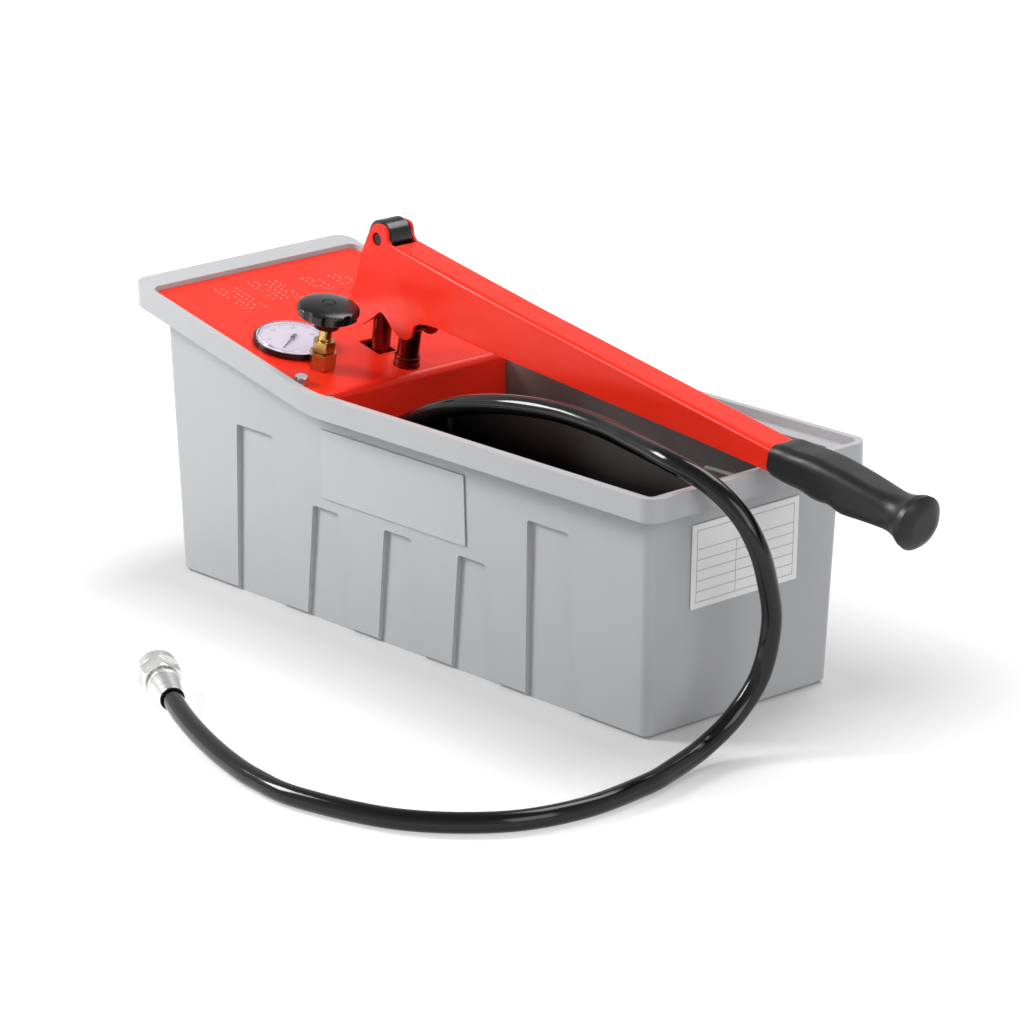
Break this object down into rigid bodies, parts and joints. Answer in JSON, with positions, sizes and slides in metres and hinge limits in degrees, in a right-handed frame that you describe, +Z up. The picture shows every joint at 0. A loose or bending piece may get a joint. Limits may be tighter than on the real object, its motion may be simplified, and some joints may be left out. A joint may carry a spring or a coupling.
{
  "type": "hydrostatic test pump",
  "caption": "Hand-lever test pump on a long open water tank, with a sloping cover, pressure gauge, release valve and a free hose with a swivel nut.",
  "frame": {"origin": "on the floor, in the middle of the tank's underside", "axes": "+X along the tank to the grip end of the lever, +Y across the tank away from the gauge side, +Z up"},
  "size_m": [0.6662, 0.4097, 0.2629],
  "materials": {
    "tank_plastic": "smooth grey moulding",
    "panel_film": "printed film, left blank",
    "red_paint": "glossy red powder coat",
    "plated_steel": "bright zinc or nickel plate",
    "dark_steel": "blackened steel",
    "cast_head": "cast, painted dark grey",
    "brass": "turned brass",
    "black_rubber": "black rubber",
    "black_plastic": "black moulding",
    "dial_white": "white enamelled aluminium dial",
    "clear_lens": "clear window"
  },
  "bodies": {
    "base": {"cover_nut_far": "plated_steel", "cover_nut_near": "plated_steel", "cover_plate": "red_paint", "cover_screw_far": "plated_steel", "cover_screw_near": "plated_steel", "cover_washer_far": "plated_steel", "cover_washer_near": "plated_steel", "delivery_pipe": "plated_steel", "delivery_union": "brass", "end_ferrule": "plated_steel", "end_label": "panel_film", "end_sleeve": "black_rubber", "end_tail": "plated_steel", "face_washer": "black_rubber", "foot_block": "brass", "gauge_case": "black_plastic", "gauge_dial": "dial_white", "gauge_lens": "clear_lens", "gauge_stem": "brass", "gland_nut": "dark_steel", "hose": "black_rubber", "hose_ferrule": "plated_steel", "link_base_pin": "plated_steel", "name_panel": "panel_film", "outlet_elbow": "brass", "pump_cylinder": "brass", "pump_head": "cast_head", "rod_seal": "black_rubber", "spring_tube": "brass", "strainer": "black_plastic", "tank": "tank_plastic", "valve_body": "plated_steel", "valve_gland": "plated_steel"},
    "plunger": {"plunger_rod": "plated_steel", "piston": "brass", "piston_seal": "black_rubber", "piston_nut": "plated_steel"},
    "lever": {"lever": "red_paint", "lever_cross_bar": "plated_steel", "lever_pivot_pin": "dark_steel", "lever_grip": "black_rubber"},
    "fulcrum_link": {"link_barrel": "black_rubber", "link_rod": "dark_steel"},
    "valve_stem": {"valve_stem": "brass"},
    "valve_wheel": {"valve_wheel": "black_plastic", "wheel_cap": "plated_steel"},
    "gauge_needle": {"gauge_needle": "black_plastic"},
    "suction_ball": {"suction_ball": "plated_steel"},
    "delivery_ball": {"delivery_ball": "plated_steel"},
    "swivel_nut": {"swivel_nut": "plated_steel"}
  },
  "joints": [
    {"name": "plunger_stroke", "type": "slide", "parent": "base", "child": "plunger", "axis": [0.2129, 0, 0.9771], "range_m": [0, 0.03025]},
    {"name": "lever_hinge", "type": "hinge", "parent": "plunger", "child": "lever", "pos_m": [-0.075, 0, 0.197], "axis": [0, -1, 0], "range_deg": [0, 45]},
    {"name": "link_hinge", "type": "hinge", "parent": "lever", "child": "fulcrum_link", "pos_m": [-0.0957, 0, 0.2502], "axis": [0, -1, 0], "range_deg": [-29.21, 0]},
    {"name": "valve_lift", "type": "slide", "parent": "base", "child": "valve_stem", "axis": [0.2129, 0, 0.9771], "range_m": [0, 0.00225]},
    {"name": "valve_turn", "type": "hinge", "parent": "valve_stem", "child": "valve_wheel", "pos_m": [-0.09446, -0.0557, 0.21083], "axis": [0.2129, 0, 0.9771], "range_deg": [0, 540.2]},
    {"name": "gauge_needle_turn", "type": "hinge", "parent": "base", "child": "gauge_needle", "pos_m": [-0.13913, -0.052, 0.17962], "axis": [-0.2129, 0, -0.9771], "range_deg": [0, 270], "stiffness_Nm_per_rad": 0.0005},
    {"name": "suction_ball_lift", "type": "slide", "parent": "base", "child": "suction_ball", "axis": [0.2129, 0, 0.9771], "range_m": [0, 0.002]},
    {"name": "delivery_ball_lift", "type": "slide", "parent": "base", "child": "delivery_ball", "axis": [0.2129, 0, 0.9771], "range_m": [0, 0.0018]},
    {"name": "swivel_nut_spin", "type": "hinge", "parent": "base", "child": "swivel_nut", "pos_m": [-0.03556, -0.24945, 0.01464], "axis": [-0.9044, 0.421, 0.0699], "continuous": true}
  ],
  "couplings": [
    {"joint": "plunger_stroke", "follows": "lever_hinge", "m_per_rad": 0.038445},
    {"joint": "link_hinge", "follows": "lever_hinge", "ratio": -0.648},
    {"joint": "valve_turn", "follows": "valve_lift", "rad_per_m": 4188.8}
  ]
}
